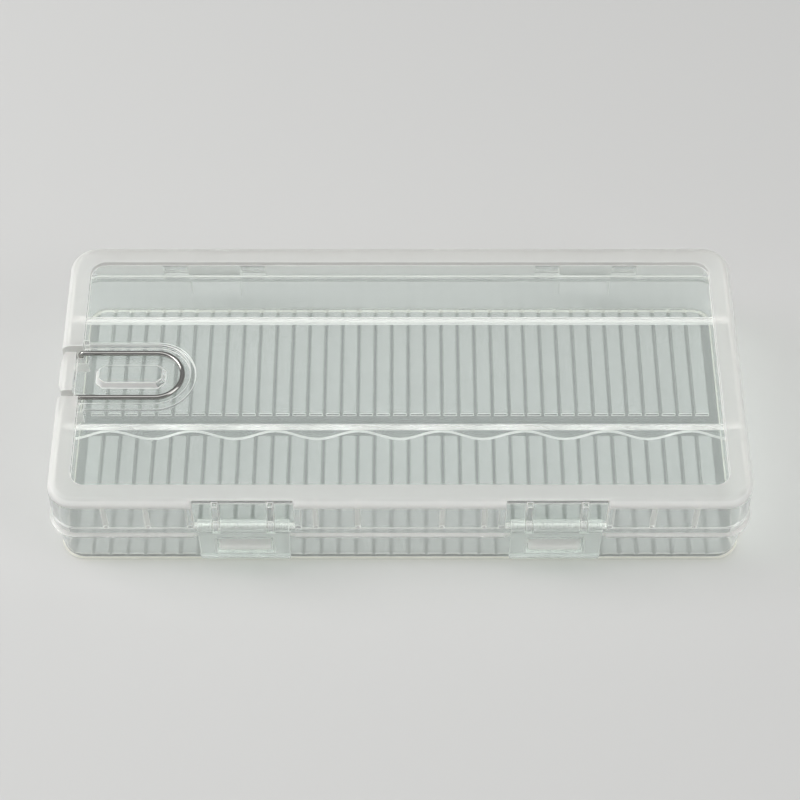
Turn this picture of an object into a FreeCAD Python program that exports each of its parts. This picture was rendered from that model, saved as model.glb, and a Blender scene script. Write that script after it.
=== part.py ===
"""Hinged case for eight loose cylindrical cells, with two snap latches and a wire hanger.

Millimetres. The origin is the centre of the underside, +X runs along the row of cells,
+Y points to the hinge side and +Z is up. The cells lie side by side along Y.
"""
import FreeCAD, Part
import math
import os

V = FreeCAD.Vector

# The cells that the case is made round.
CELL_COUNT = 8
CELL_PITCH = 18.8
CELL_LENGTH = 65.0
CELL_DIAMETER = 18.6

# Room left round the cells, measured at the lid's panel.
END_ROOM = 1.4
SIDE_ROOM = 1.9
HEAD_ROOM = 2.4

# The moulding.
WALL = 1.6
FLOOR = 1.5
PANEL = 1.4
DRAFT = 2.0
CORNER_RADIUS = 6.0
FOOT_FILLET = 1.5
LID_FILLET = 2.0

# Where the two halves part.
SEAM_HEIGHT = 12.4
SEAM_GAP = 0.1
BASE_INSET = 0.35
TONGUE_HEIGHT = 2.4
TONGUE_WALL = 0.7
TONGUE_GAP = 0.2
BEAD_STAND = 0.45
BEAD_HEIGHT = 1.5
BEAD_LAND = 0.6

# The lid's raised rim and the ribs inside the lid.
RIM_WIDTH = 5.0
RIM_RISE = 1.2
RIM_CORNER_RADIUS = 3.5
STRAIGHT_RIB_Y = 15.5
STRAIGHT_RIB_WIDTH = 1.3
STRAIGHT_RIB_DEPTH = 1.2
SCALLOP_RIB_Y = -14.5
SCALLOP_RIB_WIDTH = 1.4
SCALLOP_CREST_DEPTH = 1.2
SCALLOP_TOOTH_DEPTH = 4.5
STOP_RIB_WIDTH = 1.0
STOP_RIB_DEPTH = 0.9
STOP_RIB_SLOTS = (1, 2, 6, 7)

# Bars on the floor, in two banks with a plain strip between them.
BAR_PITCH = 4.02
BAR_WIDTH = 3.2
BAR_HEIGHT = 0.7
BAR_STRIP = 6.0

# Latches.
LATCH_SPACING = 69.6
LATCH_WIDTH = 20.4
LATCH_WALL = 1.35
LATCH_DROP = 11.3
LATCH_CORNER_RADIUS = 0.6
LATCH_GAP = 0.2
LATCH_LIP_STAND = 0.5
LATCH_LIP_HEIGHT = 0.9
LATCH_PIN_RADIUS = 0.7
LATCH_PIN_HEIGHT = 17.6
LATCH_PIN_STAND = 0.32
LATCH_BARREL_RADIUS = 1.5
WINDOW_WIDTH = 12.6
WINDOW_TOP_DROP = 3.2
POCKET_SIDE_GAP = 1.1
POCKET_WALL = 1.4
LUG_SPACING = 12.2
LUG_WIDTH = 1.4
LUG_RADIUS = 1.3
LUG_WEB_STAND = 0.4

# Catches on the base that the latches hook under.
CATCH_SIDE_GAP = 0.4
CATCH_STAND = 1.45
CATCH_NOSE = 1.1
CATCH_HEIGHT = 3.0
CATCH_GAP = 0.3
CATCH_BAR_HEIGHT = 1.9

# Hinges along the back.
HINGE_SPACING = 90.0
HINGE_BARREL_RADIUS = 1.7
HINGE_PIN_RADIUS = 0.8
HINGE_CLEARANCE = 0.3
BASE_KNUCKLE_LENGTH = 12.0
LID_KNUCKLE_LENGTH = 6.0
KNUCKLE_GAP = 0.3
KNUCKLE_ARM = 5.0

# Running clearance of a pin or a wire end in its bore, and how far a cut runs past a face.
RUNNING_GAP = 0.05
CUT_MARGIN = 1.0

# The wire hanger and its place in the lid.
WIRE_RADIUS = 0.6
WIRE_FLATS = 12
HANGER_LENGTH = 24.0
HANGER_HALF_WIDTH = 6.15
HANGER_Y = -0.4
HANGER_PIVOT_INSET = 4.2
HANGER_PIVOT_DROP = 1.9
HANGER_STUB = 2.1
HANGER_GAP = 0.2
PAD_GAP = 1.3
PAD_WALL = 1.1
WELL_WALL = 1.0
SLOT_MOUTH_WIDTH = 4.4
SLOT_MOUTH_DEPTH = 0.9
ISLAND_LENGTH = 16.3
ISLAND_WIDTH = 6.5
ISLAND_INSET = 4.8
ISLAND_SLOPE = 1.6

# Sizes that follow.
SLOPE = math.tan(math.radians(DRAFT))
PANEL_UNDERSIDE = FLOOR + BAR_HEIGHT + CELL_DIAMETER + HEAD_ROOM
PANEL_TOP = PANEL_UNDERSIDE + PANEL
HEIGHT = PANEL_TOP + RIM_RISE
LID_BOTTOM = SEAM_HEIGHT + SEAM_GAP
TONGUE_TOP = SEAM_HEIGHT + TONGUE_HEIGHT
REBATE_TOP = TONGUE_TOP + TONGUE_GAP
TOP_HALF_X = CELL_COUNT * CELL_PITCH / 2 + END_ROOM + WALL
TOP_HALF_Y = CELL_LENGTH / 2 + SIDE_ROOM + WALL
RIM_HALF_X = TOP_HALF_X - RIM_WIDTH
RIM_HALF_Y = TOP_HALF_Y - RIM_WIDTH
BARS_EACH_SIDE = int((TOP_HALF_X - WALL) / BAR_PITCH - 0.5)


def lid_flare(z):
    """How far the lid's outer face stands out at height z, from its place at the top."""
    return (HEIGHT - z) * SLOPE


def base_flare(z):
    """How far the base's outer face stands out at height z, from the lid's place at the top."""
    return lid_flare(SEAM_HEIGHT) - BASE_INSET - (SEAM_HEIGHT - z) * SLOPE


def lid_front(z):
    """Y of the lid's outer front face at height z."""
    return -TOP_HALF_Y - lid_flare(z)


def base_front(z):
    """Y of the base's outer front face at height z."""
    return -TOP_HALF_Y - base_flare(z)


def outline(offset, z):
    """Rounded rectangle at height z, standing out by offset from the lid's top outline."""
    return rounded_rectangle(TOP_HALF_X + offset, TOP_HALF_Y + offset, CORNER_RADIUS + offset, z)


def rounded_rectangle(half_x, half_y, radius, z):
    """Closed wire of a rectangle with round corners, centred on the Z axis."""
    edges = []
    diagonal = radius * math.sqrt(0.5)
    corners = ((1, 1), (-1, 1), (-1, -1), (1, -1))
    for index, (sx, sy) in enumerate(corners):
        centre = V(sx * (half_x - radius), sy * (half_y - radius), z)
        on_side = centre + V(sx * radius, 0, 0)
        on_end = centre + V(0, sy * radius, 0)
        middle = centre + V(sx * diagonal, sy * diagonal, 0)
        first, last = (on_side, on_end) if sx == sy else (on_end, on_side)
        edges.append(Part.Arc(first, middle, last).toShape())
        nx, ny = corners[(index + 1) % 4]
        next_centre = V(nx * (half_x - radius), ny * (half_y - radius), z)
        step = V(0, ny * radius, 0) if nx != ny else V(nx * radius, 0, 0)
        edges.append(Part.makeLine(last, next_centre + step))
    return Part.Wire(edges)


def drafted(*sections):
    """Solid whose walls run straight from each (offset, height) outline to the next."""
    return Part.makeLoft([outline(offset, z) for offset, z in sections], True, True)


def box(x0, x1, y0, y1, z0, z1):
    """Block between two corners."""
    return Part.makeBox(x1 - x0, y1 - y0, z1 - z0, V(x0, y0, z0))


def prism_x(points, x0, x1):
    """Block with the given (y, z) outline between two places along X."""
    wire = Part.makePolygon([V(x0, y, z) for y, z in points + points[:1]])
    return Part.Face(wire).extrude(V(x1 - x0, 0, 0))


def rod_x(radius, x0, x1, y, z):
    """Round bar along X."""
    return Part.makeCylinder(radius, x1 - x0, V(x0, y, z), V(1, 0, 0))


# Places shared by the latches, the lid and the base.
LATCH_PIN_Y = lid_front(REBATE_TOP) - LATCH_PIN_STAND
POCKET_Y = LATCH_PIN_Y + LATCH_BARREL_RADIUS + LATCH_GAP
POCKET_FLOOR = LATCH_PIN_HEIGHT - LATCH_BARREL_RADIUS - LATCH_GAP
POCKET_HALF = LATCH_WIDTH / 2 + POCKET_SIDE_GAP
LATCH_FACE_Y = LATCH_PIN_Y - LATCH_BARREL_RADIUS
LATCH_BOTTOM = LATCH_PIN_HEIGHT - LATCH_DROP
WINDOW_BOTTOM = LATCH_BOTTOM + CATCH_BAR_HEIGHT
WINDOW_TOP = LATCH_PIN_HEIGHT - WINDOW_TOP_DROP
LATCH_CENTRES = {"left": -LATCH_SPACING / 2, "right": LATCH_SPACING / 2}

# Places shared by the hinge's halves and pins.
HINGE_Y = TOP_HALF_Y + lid_flare(LID_BOTTOM) + BEAD_STAND + HINGE_CLEARANCE + HINGE_BARREL_RADIUS
HINGE_Z = SEAM_HEIGHT
HINGE_HALF = BASE_KNUCKLE_LENGTH / 2 + KNUCKLE_GAP + LID_KNUCKLE_LENGTH
HINGE_CENTRES = {"left": -HINGE_SPACING / 2, "right": HINGE_SPACING / 2}

# Places shared by the hanger and the lid.
WIRE_Z = PANEL_TOP - WIRE_RADIUS
PAD_FLOOR = WIRE_Z - WIRE_RADIUS - HANGER_GAP
PIVOT_X = -TOP_HALF_X + HANGER_PIVOT_INSET
PIVOT_Z = WIRE_Z - HANGER_PIVOT_DROP
SLOT_FLOOR = PIVOT_Z - HANGER_PIVOT_DROP - WIRE_RADIUS - HANGER_GAP
SLOT_HALF = WIRE_RADIUS + HANGER_GAP
WELL_INNER_X = PIVOT_X + WIRE_RADIUS + HANGER_GAP
BAY_X = PIVOT_X - WIRE_RADIUS


def base_tray():
    """Lower half: tub, barred floor, tongue, catches and hinge knuckles."""
    foot_inset = base_flare(0.0)
    seam_inset = base_flare(SEAM_HEIGHT)
    tub = drafted((foot_inset, 0.0), (seam_inset, SEAM_HEIGHT))
    foot_edges = [edge for edge in tub.Edges if edge.BoundBox.ZMax < 0.001]
    tub = tub.makeFillet(FOOT_FILLET, foot_edges)

    tongue_outer = base_flare(SEAM_HEIGHT) - WALL + TONGUE_WALL
    tongue = drafted((tongue_outer, FLOOR), (tongue_outer, TONGUE_TOP))
    cavity = drafted((base_flare(FLOOR) - WALL, FLOOR), (base_flare(TONGUE_TOP) - WALL, TONGUE_TOP))
    body = tub.fuse(tongue).cut(cavity)

    pieces = [floor_bars(side, cavity) for side in (1, -1)]
    pieces += [catch(x) for x in LATCH_CENTRES.values()]
    pieces += [base_knuckle(x) for x in HINGE_CENTRES.values()]
    body = body.fuse(pieces)
    for x in HINGE_CENTRES.values():
        body = body.cut(hinge_bore(x))
    return body.removeSplitter()


def floor_bars(side, cavity):
    """One bank of bars, from the plain strip to the wall, cut to the cavity's outline."""
    reach = TOP_HALF_Y
    near, far = sorted((side * BAR_STRIP / 2, side * reach))
    bars = []
    for index in range(-BARS_EACH_SIDE, BARS_EACH_SIDE + 1):
        centre = index * BAR_PITCH
        bars.append(box(centre - BAR_WIDTH / 2, centre + BAR_WIDTH / 2, near, far,
                        FLOOR, FLOOR + BAR_HEIGHT))
    return Part.makeCompound(bars).common(cavity)


def catch(x):
    """Ramped nose on the base's front wall, in the latch's window."""
    half = WINDOW_WIDTH / 2 - CATCH_SIDE_GAP
    bottom = WINDOW_BOTTOM + CATCH_GAP
    top = bottom + CATCH_HEIGHT
    root = base_front(bottom) + WALL / 2
    face = base_front(SEAM_HEIGHT)
    nose = face - CATCH_STAND
    outline_yz = [(root, bottom), (nose, bottom), (nose, bottom + CATCH_NOSE), (face, top), (root, top)]
    return prism_x(outline_yz, x - half, x + half)


def knuckle(x0, x1, wall_y, up):
    """Hinge barrel with an arm to the wall, above the axis if up is 1 and below if it is -1."""
    barrel = rod_x(HINGE_BARREL_RADIUS, x0, x1, HINGE_Y, HINGE_Z)
    arm_end = HINGE_Z + up * (HINGE_BARREL_RADIUS + KNUCKLE_ARM)
    level = HINGE_Z if up < 0 else LID_BOTTOM
    arm = prism_x([(HINGE_Y + HINGE_BARREL_RADIUS, level), (wall_y, arm_end), (wall_y, level)], x0, x1)
    keep = box(x0, x1, wall_y, HINGE_Y, min(level, arm_end), max(level, arm_end))
    return barrel.fuse(arm.common(keep))


def base_knuckle(x):
    """The base's middle knuckle of one hinge."""
    wall_y = TOP_HALF_Y + base_flare(0.0) - WALL / 2
    return knuckle(x - BASE_KNUCKLE_LENGTH / 2, x + BASE_KNUCKLE_LENGTH / 2, wall_y, -1)


def lid_knuckles(x):
    """The lid's two outer knuckles of one hinge."""
    wall_y = TOP_HALF_Y + lid_flare(REBATE_TOP) - TONGUE_WALL
    start = BASE_KNUCKLE_LENGTH / 2 + KNUCKLE_GAP
    return [knuckle(x + start, x + HINGE_HALF, wall_y, 1),
            knuckle(x - HINGE_HALF, x - start, wall_y, 1)]


def hinge_bore(x):
    """Space for a hinge pin, right through its knuckles."""
    return rod_x(HINGE_PIN_RADIUS + RUNNING_GAP, x - HINGE_HALF - CUT_MARGIN, x + HINGE_HALF + CUT_MARGIN,
                 HINGE_Y, HINGE_Z)


def hinge_pin(x):
    """Plain steel pin, as long as the hinge."""
    return rod_x(HINGE_PIN_RADIUS, x - HINGE_HALF, x + HINGE_HALF, HINGE_Y, HINGE_Z)


def lid_cover():
    """Upper half: drafted shell with a raised rim, ribs, latch pockets, hinge and hanger seat."""
    shell = drafted((lid_flare(LID_BOTTOM), LID_BOTTOM), (0.0, HEIGHT))
    top_edges = [edge for edge in shell.Edges if edge.BoundBox.ZMin > HEIGHT - 0.001]
    shell = shell.makeFillet(LID_FILLET, top_edges)
    bead_low = lid_flare(LID_BOTTOM) + BEAD_STAND
    bead = drafted((bead_low, LID_BOTTOM), (bead_low, LID_BOTTOM + BEAD_LAND),
                   (lid_flare(LID_BOTTOM + BEAD_HEIGHT), LID_BOTTOM + BEAD_HEIGHT))
    cavity = drafted((lid_flare(LID_BOTTOM) - WALL, LID_BOTTOM),
                     (lid_flare(PANEL_UNDERSIDE) - WALL, PANEL_UNDERSIDE))
    tongue_outer = base_flare(SEAM_HEIGHT) - WALL + TONGUE_WALL
    rebate = drafted((tongue_outer + TONGUE_GAP, LID_BOTTOM), (tongue_outer + TONGUE_GAP, REBATE_TOP))
    body = shell.fuse(bead).cut([cavity, rebate])

    dish = Part.Face(rounded_rectangle(RIM_HALF_X, RIM_HALF_Y, RIM_CORNER_RADIUS, PANEL_TOP))
    body = body.cut(dish.extrude(V(0, 0, RIM_RISE)))

    inside = lid_ribs() + [pocket_wall(x) for x in LATCH_CENTRES.values()] + hanger_seat_walls()
    kept_inside = [piece.common(shell.cut(rebate)) for piece in inside]
    body = body.fuse(kept_inside)
    for x in HINGE_CENTRES.values():
        body = body.fuse(lid_knuckles(x)).cut(hinge_bore(x))
    for x in LATCH_CENTRES.values():
        body = body.cut(latch_pocket(x)).fuse(latch_lugs(x)).cut(latch_pin_bore(x))
    return body.cut(hanger_seat_cuts())


def lid_ribs():
    """Ribs that hang from the panel and stop ribs on the front wall."""
    reach = TOP_HALF_X
    straight = box(-reach, reach, STRAIGHT_RIB_Y - STRAIGHT_RIB_WIDTH / 2, STRAIGHT_RIB_Y + STRAIGHT_RIB_WIDTH / 2,
                   PANEL_UNDERSIDE - STRAIGHT_RIB_DEPTH, PANEL_TOP)
    ribs = [straight, scalloped_rib()]
    for slot in STOP_RIB_SLOTS:
        for side in (-1, 1):
            x = side * slot * CELL_PITCH / 2
            back = lid_front(PANEL_UNDERSIDE) + WALL + STOP_RIB_DEPTH
            ribs.append(box(x - STOP_RIB_WIDTH / 2, x + STOP_RIB_WIDTH / 2, lid_front(REBATE_TOP), back,
                            REBATE_TOP, PANEL_TOP))
    return ribs


def scalloped_rib():
    """Rib with a wavy lower edge: it arches over each cell and comes down between the cells."""
    crest = PANEL_UNDERSIDE - SCALLOP_CREST_DEPTH
    tooth = PANEL_UNDERSIDE - SCALLOP_TOOTH_DEPTH
    middle = (crest + tooth) / 2
    quarter = CELL_PITCH / 4
    y = SCALLOP_RIB_Y - SCALLOP_RIB_WIDTH / 2
    start = -CELL_COUNT * CELL_PITCH / 2
    edges = []
    for index in range(2 * CELL_COUNT + 1):
        x = start + index * CELL_PITCH / 2
        peak = crest if index % 2 else tooth
        edges.append(Part.Arc(V(x - quarter, y, middle), V(x, y, peak), V(x + quarter, y, middle)).toShape())
    end = -start + quarter
    corners = [V(end, y, middle), V(end, y, PANEL_TOP), V(-end, y, PANEL_TOP), V(-end, y, middle)]
    edges += [Part.makeLine(a, b) for a, b in zip(corners, corners[1:])]
    return Part.Face(Part.Wire(edges)).extrude(V(0, SCALLOP_RIB_WIDTH, 0))


def pocket_wall(x):
    """Thickening behind a latch pocket, so that the pocket stays closed to the inside."""
    half = POCKET_HALF + POCKET_WALL
    return box(x - half, x + half, lid_front(LID_BOTTOM), POCKET_Y + POCKET_WALL, REBATE_TOP, PANEL_TOP)


def latch_pocket(x):
    """Space for a latch: open to the front and the top, and through the bead below."""
    front = lid_front(LID_BOTTOM) - BEAD_STAND - CUT_MARGIN
    upper = box(x - POCKET_HALF, x + POCKET_HALF, front, POCKET_Y, POCKET_FLOOR, HEIGHT + CUT_MARGIN)
    lower = box(x - POCKET_HALF, x + POCKET_HALF, front, lid_front(LID_BOTTOM),
                LID_BOTTOM - CUT_MARGIN, POCKET_FLOOR)
    return upper.fuse(lower)


def latch_lugs(x):
    """Two ears on webs in a latch pocket, from the pin up to the rim."""
    lugs = []
    web_face = LATCH_PIN_Y + LUG_WEB_STAND
    root = POCKET_Y + POCKET_WALL / 2
    for side in (-1, 1):
        x0 = x + side * LUG_SPACING / 2 - LUG_WIDTH / 2
        web = box(x0, x0 + LUG_WIDTH, web_face, root, POCKET_FLOOR, HEIGHT - LID_FILLET / 2)
        lugs.append(web.fuse(rod_x(LUG_RADIUS, x0, x0 + LUG_WIDTH, LATCH_PIN_Y, LATCH_PIN_HEIGHT)))
    return lugs


def latch_pin_bore(x):
    """Space for a latch pin."""
    half = LATCH_WIDTH / 2 + CUT_MARGIN
    return rod_x(LATCH_PIN_RADIUS + RUNNING_GAP, x - half, x + half, LATCH_PIN_Y, LATCH_PIN_HEIGHT)


def latch_pin(x):
    """Steel pin through a latch's barrel and the lid's two ears."""
    half = LATCH_WIDTH / 2 - LATCH_GAP
    return rod_x(LATCH_PIN_RADIUS, x - half, x + half, LATCH_PIN_Y, LATCH_PIN_HEIGHT)


def latch(x):
    """Clear snap latch: barrel, plate with a window for the catch, and a finger lip."""
    half = LATCH_WIDTH / 2
    back = LATCH_FACE_Y + LATCH_WALL
    lip = LATCH_FACE_Y - LATCH_LIP_STAND
    lip_top = LATCH_BOTTOM + LATCH_LIP_HEIGHT
    profile = [(back, LATCH_BOTTOM), (lip, LATCH_BOTTOM), (lip, lip_top),
               (LATCH_FACE_Y, lip_top + LATCH_LIP_STAND), (LATCH_FACE_Y, LATCH_PIN_HEIGHT),
               (back, LATCH_PIN_HEIGHT)]
    plate = prism_x(profile, x - half, x + half)
    corner_edges = [edge for edge in plate.Edges
                    if edge.BoundBox.ZMax < LATCH_BOTTOM + 0.001 and edge.BoundBox.XLength < 0.001]
    plate = plate.makeFillet(LATCH_CORNER_RADIUS, corner_edges)
    barrel = rod_x(LATCH_BARREL_RADIUS, x - half, x + half, LATCH_PIN_Y, LATCH_PIN_HEIGHT)
    window = box(x - WINDOW_WIDTH / 2, x + WINDOW_WIDTH / 2, lip - CUT_MARGIN, back + CUT_MARGIN,
                 WINDOW_BOTTOM, WINDOW_TOP)
    cuts = [window, latch_pin_bore(x)]
    for side in (-1, 1):
        middle = x + side * LUG_SPACING / 2
        slot = LUG_WIDTH / 2 + LATCH_GAP
        cuts.append(rod_x(LATCH_BARREL_RADIUS + LATCH_GAP, middle - slot, middle + slot,
                          LATCH_PIN_Y, LATCH_PIN_HEIGHT))
    return plate.fuse(barrel).cut(cuts).removeSplitter()


def hanger_sides():
    """Y of the two legs of the hanger, with the side that each one is on."""
    return [(HANGER_Y + side * HANGER_HALF_WIDTH, side) for side in (1, -1)]


def stadium(half_width, x_end, z0, z1):
    """Slab round the hanger: straight from the rim, with a half-round end."""
    centre_x = PIVOT_X + HANGER_LENGTH - HANGER_HALF_WIDTH
    slab = box(x_end, centre_x, HANGER_Y - half_width, HANGER_Y + half_width, z0, z1)
    return slab.fuse(Part.makeCylinder(half_width, z1 - z0, V(centre_x, HANGER_Y, z0)))


def hanger_seat_walls():
    """Material under the panel that closes the hanger's pad and its two wells."""
    pad_half = HANGER_HALF_WIDTH + WIRE_RADIUS + PAD_GAP
    walls = [stadium(pad_half + PAD_WALL, BAY_X - PAD_WALL, PAD_FLOOR - PAD_WALL, PANEL_TOP)]
    for y, side in hanger_sides():
        near = y - side * (SLOT_HALF + WELL_WALL)
        far = y + side * (HANGER_STUB + WIRE_RADIUS + WELL_WALL)
        walls.append(box(-TOP_HALF_X, WELL_INNER_X + WELL_WALL, min(near, far), max(near, far),
                         SLOT_FLOOR - WELL_WALL, PANEL_TOP))
    return walls


def hanger_seat_cuts():
    """Pad with an island in it, a bay between the elbows, and for each leg a slot, its mouth and a bore."""
    pad_half = HANGER_HALF_WIDTH + WIRE_RADIUS + PAD_GAP
    pad = stadium(pad_half, -RIM_HALF_X, PAD_FLOOR, HEIGHT)
    island_x0 = -RIM_HALF_X + ISLAND_INSET - ISLAND_SLOPE
    pad = pad.cut(island(island_x0))
    bay = box(BAY_X, -RIM_HALF_X, HANGER_Y - HANGER_HALF_WIDTH, HANGER_Y + HANGER_HALF_WIDTH,
              PAD_FLOOR, HEIGHT + CUT_MARGIN)
    cuts = [pad, bay]
    outside = -TOP_HALF_X - lid_flare(SLOT_FLOOR) - CUT_MARGIN
    for y, side in hanger_sides():
        cuts.append(box(outside, WELL_INNER_X, y - SLOT_HALF, y + SLOT_HALF, SLOT_FLOOR, HEIGHT + CUT_MARGIN))
        cuts.append(slot_mouth(y, side))
        length = HANGER_STUB + HANGER_GAP
        cuts.append(Part.makeCylinder(WIRE_RADIUS + RUNNING_GAP, length, V(PIVOT_X, y, PIVOT_Z),
                                      V(0, side, 0)))
    return cuts


def slot_mouth(y, side):
    """Flared outer end of a leg's slot, wider towards the middle of the case's end."""
    outer = -TOP_HALF_X - lid_flare(SLOT_FLOOR) - CUT_MARGIN
    wall = -TOP_HALF_X + SLOT_MOUTH_DEPTH
    edge = y + side * SLOT_HALF
    deep = edge - side * 2 * SLOT_HALF
    wide = edge - side * SLOT_MOUTH_WIDTH
    corners = [(outer, edge), (wall, edge), (wall, deep), (-TOP_HALF_X, wide), (outer, wide)]
    wire = Part.makePolygon([V(x, yy, SLOT_FLOOR) for x, yy in corners + corners[:1]])
    return Part.Face(wire).extrude(V(0, 0, HEIGHT + CUT_MARGIN - SLOT_FLOOR))


def island(x0):
    """Raised island inside the hanger's loop, with sloping sides and cut corners."""
    def ring(inset, z):
        """Octagon round the island, drawn in by inset."""
        left = x0 + inset
        right = x0 + ISLAND_LENGTH - inset
        low = HANGER_Y - ISLAND_WIDTH / 2 + inset
        high = HANGER_Y + ISLAND_WIDTH / 2 - inset
        cut = ISLAND_SLOPE
        corners = [(left + cut, low), (right - cut, low), (right, low + cut), (right, high - cut),
                   (right - cut, high), (left + cut, high), (left, high - cut), (left, low + cut)]
        return Part.makePolygon([V(x, y, z) for x, y in corners + corners[:1]])
    return Part.makeLoft([ring(0.0, PAD_FLOOR), ring(ISLAND_SLOPE / 2, PANEL_TOP)], True, True)


def wire_section(centre, normal):
    """Section of the wire across the given direction, with flats in place of the full round."""
    section = Part.makePolygon([V(WIRE_RADIUS * math.cos(turn), WIRE_RADIUS * math.sin(turn), 0)
                                for turn in (2 * math.pi * k / WIRE_FLATS for k in range(WIRE_FLATS + 1))])
    face = Part.Face(section)
    face.Placement = FreeCAD.Placement(centre, FreeCAD.Rotation(V(0, 0, 1), normal))
    return face


def bent_wire(start, normal, centre, axis, angle):
    """Wire swept from start round an axis through centre."""
    return wire_section(start, normal).revolve(centre, axis, angle)


def straight_wire(start, direction, length):
    """Straight length of wire."""
    return wire_section(start, direction).extrude(direction * length)


def hanger_wire():
    """Sprung wire loop: two legs and a half-round end, with elbows down and out to the stubs."""
    centre_x = PIVOT_X + HANGER_LENGTH - HANGER_HALF_WIDTH
    elbow = HANGER_PIVOT_DROP / 2
    start = V(centre_x, HANGER_Y + HANGER_HALF_WIDTH, WIRE_Z)
    pieces = [bent_wire(start, V(1, 0, 0), V(centre_x, HANGER_Y, WIRE_Z), V(0, 0, -1), 180)]
    for y, side in hanger_sides():
        leg_start = V(PIVOT_X + elbow, y, WIRE_Z)
        middle = V(PIVOT_X, y, PIVOT_Z + elbow)
        stub_start = V(PIVOT_X, y + side * elbow, PIVOT_Z)
        out = V(0, side, 0)
        pieces += [straight_wire(leg_start, V(1, 0, 0), centre_x - leg_start.x),
                   bent_wire(leg_start, V(1, 0, 0), leg_start - V(0, 0, elbow), V(0, -1, 0), 90),
                   bent_wire(middle, V(0, 0, 1), middle + out * elbow, V(side, 0, 0), 90),
                   straight_wire(stub_start, out, HANGER_STUB - elbow)]
    return pieces[0].fuse(pieces[1:]).removeSplitter()


def main():
    """Build every node and write one STEP file for each."""
    os.makedirs("parts", exist_ok=True)
    nodes = {"base_tray": base_tray(), "lid_cover": lid_cover(), "hanger_wire": hanger_wire()}
    for side, x in LATCH_CENTRES.items():
        nodes["latch_" + side] = latch(x)
        nodes["latch_pin_" + side] = latch_pin(x)
    for side, x in HINGE_CENTRES.items():
        nodes["hinge_pin_" + side] = hinge_pin(x)
    for name, shape in nodes.items():
        shape.exportStep("parts/" + name + ".step")
        print(name, "solids", len(shape.Solids), "volume", round(shape.Volume, 2), "valid", shape.isValid())


main()
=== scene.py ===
"""Looks of a hinged storage case for eight loose cells: clear lid, barred tray, snap latches, wire hanger.

Metres. The origin is the centre of the underside, +X runs along the row of cells,
+Y points to the hinge side and +Z is up.
"""
import math

import bmesh
import bpy
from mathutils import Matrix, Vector


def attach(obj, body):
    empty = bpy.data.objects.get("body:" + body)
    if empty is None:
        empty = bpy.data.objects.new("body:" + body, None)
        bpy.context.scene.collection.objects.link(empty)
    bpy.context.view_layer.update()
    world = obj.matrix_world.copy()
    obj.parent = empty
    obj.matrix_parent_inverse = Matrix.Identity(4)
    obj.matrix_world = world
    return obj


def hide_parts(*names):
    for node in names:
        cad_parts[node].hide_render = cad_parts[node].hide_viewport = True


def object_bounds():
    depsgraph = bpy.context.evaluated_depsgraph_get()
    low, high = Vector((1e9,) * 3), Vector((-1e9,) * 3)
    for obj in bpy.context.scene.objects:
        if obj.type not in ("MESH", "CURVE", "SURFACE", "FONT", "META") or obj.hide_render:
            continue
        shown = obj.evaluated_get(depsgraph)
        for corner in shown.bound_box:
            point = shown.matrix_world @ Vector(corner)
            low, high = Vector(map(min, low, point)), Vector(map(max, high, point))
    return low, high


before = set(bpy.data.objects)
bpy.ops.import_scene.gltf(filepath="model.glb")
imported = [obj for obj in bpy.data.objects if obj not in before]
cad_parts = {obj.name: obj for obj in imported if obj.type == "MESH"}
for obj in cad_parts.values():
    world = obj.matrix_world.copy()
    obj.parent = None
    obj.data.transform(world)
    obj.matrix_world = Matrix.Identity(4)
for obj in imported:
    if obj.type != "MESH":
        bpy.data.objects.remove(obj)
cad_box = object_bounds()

MM = 0.001

# Distance from one cell to the next.
CELL_PITCH = 18.8 * MM

# The moulding.
WALL = 1.6 * MM
FLOOR = 1.5 * MM
PANEL = 1.4 * MM
DRAFT = math.radians(2.0)
CORNER_RADIUS = 6.0 * MM
FOOT_FILLET = 1.5 * MM
LID_FILLET = 2.0 * MM
EDGE_RADIUS = 0.14 * MM

# Where the two halves part.
SEAM_HEIGHT = 12.4 * MM
SEAM_GAP = 0.1 * MM
BASE_INSET = 0.35 * MM
TONGUE_HEIGHT = 2.4 * MM
TONGUE_WALL = 0.7 * MM
TONGUE_GAP = 0.2 * MM
BEAD_STAND = 0.45 * MM
BEAD_HEIGHT = 1.5 * MM
BEAD_LAND = 0.6 * MM

# The lid's raised rim and the ribs inside the lid.
RIM_WIDTH = 5.0 * MM
RIM_RISE = 1.2 * MM
RIM_CORNER_RADIUS = 3.5 * MM
STRAIGHT_RIB_Y = 15.5 * MM
STRAIGHT_RIB_WIDTH = 1.3 * MM
STRAIGHT_RIB_DEPTH = 1.2 * MM
SCALLOP_RIB_Y = -14.5 * MM
SCALLOP_RIB_WIDTH = 1.4 * MM
SCALLOP_CREST_DEPTH = 1.2 * MM
SCALLOP_TOOTH_DEPTH = 4.5 * MM
STOP_RIB_WIDTH = 1.0 * MM
STOP_RIB_DEPTH = 0.9 * MM
STOP_RIB_SLOTS = (1, 2, 6, 7)

# Bars on the floor.
BAR_PITCH = 4.02 * MM
BAR_WIDTH = 3.2 * MM
BAR_HEIGHT = 0.7 * MM
BAR_STRIP = 6.0 * MM

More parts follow.
